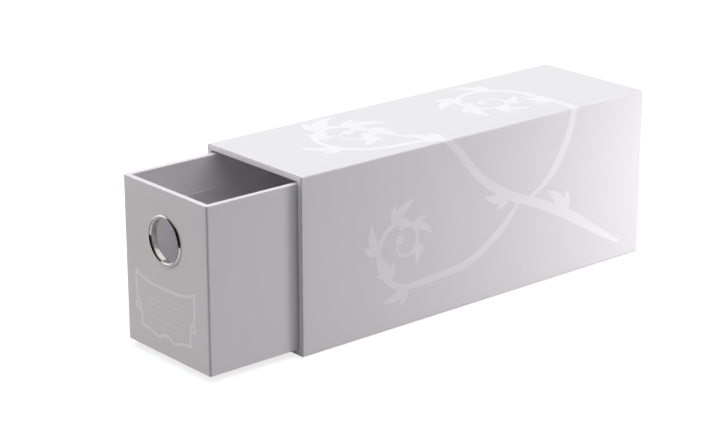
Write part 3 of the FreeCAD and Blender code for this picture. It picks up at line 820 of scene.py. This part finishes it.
nickel, tree, shader = start_material("nickel_plate", Metallic=1.0)
where = place(tree, "ShaderNodeTexCoord").outputs["Object"]
wiping = speckle(tree, where, 900, 3.0, (1.0, 1.0, 0.25))
haze = speckle(tree, where, 90, 3.0)
plate = blended(tree, haze, (0.67, 0.642, 0.613, 1), (0.74, 0.712, 0.683, 1))
tree.links.new(plate, shader.inputs["Base Color"])
tree.links.new(ranged(tree, wiping, 0.05, 0.16, 0.3, 0.7), shader.inputs["Roughness"])
embossed(tree, shader, wiping, 0.000004)

finger_ring.data.materials.append(nickel)
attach(finger_ring, "drawer")
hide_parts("finger_ring")

# ---------------------------------------------------------------- washer
# A flat stamped ring of the same plated steel, pressed into the back of the front panel
# under the ring's lip. Stamping rounds its edges a little.

WASHER_IN, WASHER_OUT = 13.0, 15.2
WASHER_FRONT, WASHER_BACK = -2.8, -3.2
EASE = 0.12
section = arc((WASHER_IN + EASE, WASHER_FRONT - EASE), EASE, 180, 90, 4)
section += arc((WASHER_OUT - EASE, WASHER_FRONT - EASE), EASE, 90, 0, 4)
section += arc((WASHER_OUT - EASE, WASHER_BACK + EASE), EASE, 0, -90, 4)
section += arc((WASHER_IN + EASE, WASHER_BACK + EASE), EASE, -90, -180, 4)
washer = turned_piece("plated_washer", section, 96)
washer.data.materials.append(nickel)
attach(washer, "drawer")
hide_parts("finger_ring_washer")

# ---------------------------------------------------------------- camera
# A long lens to the right of the drawer's front, held a little above the box, so that
# the top, the front and the right side show.

AZIMUTH, DIP, ROLL = math.radians(49.675), math.radians(18.585), math.radians(-0.124)
LENS = 110.73                  # focal length, in millimetres
STAND = (0.93154, -0.85384, 0.47022)
forward = Vector((-math.sin(AZIMUTH) * math.cos(DIP), math.cos(AZIMUTH) * math.cos(DIP), -math.sin(DIP)))
right = Vector((math.cos(AZIMUTH), math.sin(AZIMUTH), 0))
up = right.cross(forward)
across = right * math.cos(ROLL) + up * math.sin(ROLL)
upward = up * math.cos(ROLL) - right * math.sin(ROLL)
camera_data = bpy.data.cameras.new("camera")
camera_data.sensor_width = 36
camera_data.lens = LENS
camera_data.clip_start = 0.05
camera_data.clip_end = 50
camera = bpy.data.objects.new("camera", camera_data)
camera.matrix_world = Matrix((across, upward, -forward)).transposed().to_4x4()
camera.location = STAND
bpy.context.scene.collection.objects.link(camera)
bpy.context.scene.camera = camera

# ---------------------------------------------------------------- floor, cards and lamps
# A white sweep under the box, broad soft light from above with a faint glow from the
# rear, softboxes at the front left and close by at the rear right, and glowing cards round
# the finger ring, painted reflections for its metal to mirror.

bpy.context.scene.view_settings.view_transform = "Standard"

FLOOR_HALF = 8.0                        # metres from the box to the floor's edge
FLOOR_DROP = 0.0002                     # the floor stays clear of the base sheet
FLOOR_GREY = (0.22, 0.22, 0.22, 1)      # to scattered light
FLOOR_SHADE = (0.35, 0.35, 0.35, 1)     # where it is seen, and carries the box's shadow
FLOOR_WHITE = 0.78                      # added to that, up to plain white


def seen_directly(tree):
    """1 for a ray from the camera, a reflection or glass, 0 for scattered light."""
    path = place(tree, "ShaderNodeLightPath").outputs
    both = place(tree, "ShaderNodeMath", {0: path["Is Camera Ray"], 1: path["Is Glossy Ray"]},
                 operation="MAXIMUM").outputs[0]
    return place(tree, "ShaderNodeMath", {0: both, 1: path["Is Transmission Ray"]},
                 operation="MAXIMUM").outputs[0]


floor_mesh = bmesh.new()
bmesh.ops.create_grid(floor_mesh, x_segments=1, y_segments=1, size=FLOOR_HALF,
                      matrix=Matrix.Translation((0, 0, -FLOOR_DROP)))
floor = finish_mesh("floor", floor_mesh)
sweep = bpy.data.materials.new("white_sweep")
sweep.use_nodes = True
tree = sweep.node_tree
tree.nodes.clear()
dull = place(tree, "ShaderNodeBsdfDiffuse", {"Color": FLOOR_GREY}).outputs[0]
shade = place(tree, "ShaderNodeBsdfDiffuse", {"Color": FLOOR_SHADE}).outputs[0]
glow = place(tree, "ShaderNodeEmission", {"Color": (1, 1, 1, 1), "Strength": FLOOR_WHITE}).outputs[0]
bright = place(tree, "ShaderNodeAddShader", {0: shade, 1: glow}).outputs[0]
surface = place(tree, "ShaderNodeMixShader", {0: seen_directly(tree), 1: dull, 2: bright}).outputs[0]
place(tree, "ShaderNodeOutputMaterial", {"Surface": surface})
floor.data.materials.append(sweep)

world = bpy.data.worlds.new("room")
world.use_nodes = True
tree = world.node_tree
tree.nodes.clear()
background = place(tree, "ShaderNodeBackground",
                   {"Color": (1, 1, 1, 1), "Strength": seen_directly(tree)}).outputs[0]
place(tree, "ShaderNodeOutputWorld", {"Surface": background})
bpy.context.scene.world = world


def lamp(name, kind, location, target, colour, energy, **settings):
    """A lamp at a place, aimed at another, in metres."""
    light = bpy.data.lights.new(name, kind)
    light.energy = energy
    light.color = colour
    for setting, value in settings.items():
        setattr(light, setting, value)
    made = bpy.data.objects.new(name, light)
    made.location = location
    made.rotation_euler = (Vector(target) - Vector(location)).to_track_quat("-Z", "Y").to_euler()
    made.visible_camera = False
    made.visible_glossy = False
    bpy.context.scene.collection.objects.link(made)


lamp("overhead", "SUN", (0, 0, 2.0), (0, 0, 0), (0.935, 1.0, 1.0), 2.64, angle=math.radians(90))
lamp("rear_glow", "SUN", (0.7, 0.9, 0.9), (0, 0, 0), (1.0, 0.83, 0.845), 0.72, angle=math.radians(40))
lamp("front_left", "AREA", (-1.2, -1.2, 0.3), (0, -0.15, 0.06), (1.0, 0.915, 0.913), 11.3,
     shape="RECTANGLE", size=0.7, size_y=0.5)
lamp("rear_right", "AREA", (0.30, 0.32, 0.04), (0.043, 0.08, 0.05), (0.98, 0.995, 1.0), 0.92,
     shape="RECTANGLE", size=0.18, size_y=0.08)


def around_ring(azimuth, height, distance):
    """A point round the finger ring: degrees to the right of straight ahead, height, distance."""
    angle = math.radians(azimuth)
    return distance * math.sin(angle), DRAWER_FRONT * MM - distance * math.cos(angle), height


def curved_card(first, last, low, high):
    """The quads of a card bent round the ring; low and high are (height, distance)."""
    steps = spaced(first, last, 18)
    return [(around_ring(start, *low), around_ring(end, *low),
             around_ring(end, *high), around_ring(start, *high)) for start, end in zip(steps, steps[1:])]


def card(name, shade, glow, *bands):
    """A matt card that only the metal and the film's gloss see; its glow lights nothing else and is a
    painted reflection for them to show.
    """
    made = bmesh.new()
    for band in bands:
        for corners in curved_card(*band):
            made.faces.new([made.verts.new(corner) for corner in corners])
    piece = finish_mesh(name, made)
    paint, tree, shader = start_material(name, Base_Color=(shade, shade, shade, 1), Roughness=0.9,
                                         Specular_IOR_Level=0.0, Emission_Color=(1, 1, 1, 1),
                                         Emission_Strength=glow)
    piece.data.materials.append(paint)
    piece.visible_camera = False
    piece.visible_diffuse = False
    piece.visible_shadow = False


# glowing cards, from black to bright: painted reflections that only the metal and the film's gloss show
card("black_card", 0.0, 0.004, (-42, 54, (0.0006, 0.20), (0.0006, 0.62)),
     (-42, 54, (0.0006, 0.62), (0.78, 0.62)), (-115, -42, (0.0006, 0.17), (0.0006, 0.31)))
card("dark_card", 0.0, 0.12, (-42, 54, (0.78, 0.62), (1.10, 0.62)),
     (54, 100, (0.0006, 0.20), (0.0006, 0.62)), (54, 100, (0.0006, 0.62), (1.10, 0.62)))
card("grey_card", 0.0, 0.5, (-115, -42, (0.0006, 0.31), (0.0006, 0.64)),
     (-42, 100, (1.10, 0.62), (1.20, 0.02)), (-115, -42, (0.56, 0.62), (1.20, 0.02)))
card("white_card", 0.0, 1.3, (-112, -52, (0.0, 0.64), (0.56, 0.64)))
card("floor_card", 0.64, 0.0, (-115, 100, (0.0005, 0.008), (0.0005, 0.20)))
card("low_side_card", 0.0, 0.30, (100, 160, (0.0006, 0.62), (0.54, 0.62)))
card("side_card", 0.0, 0.55, (100, 160, (0.54, 0.62), (0.66, 0.62)))
card("high_side_card", 0.0, 0.86, (100, 160, (0.66, 0.62), (1.20, 0.30)))
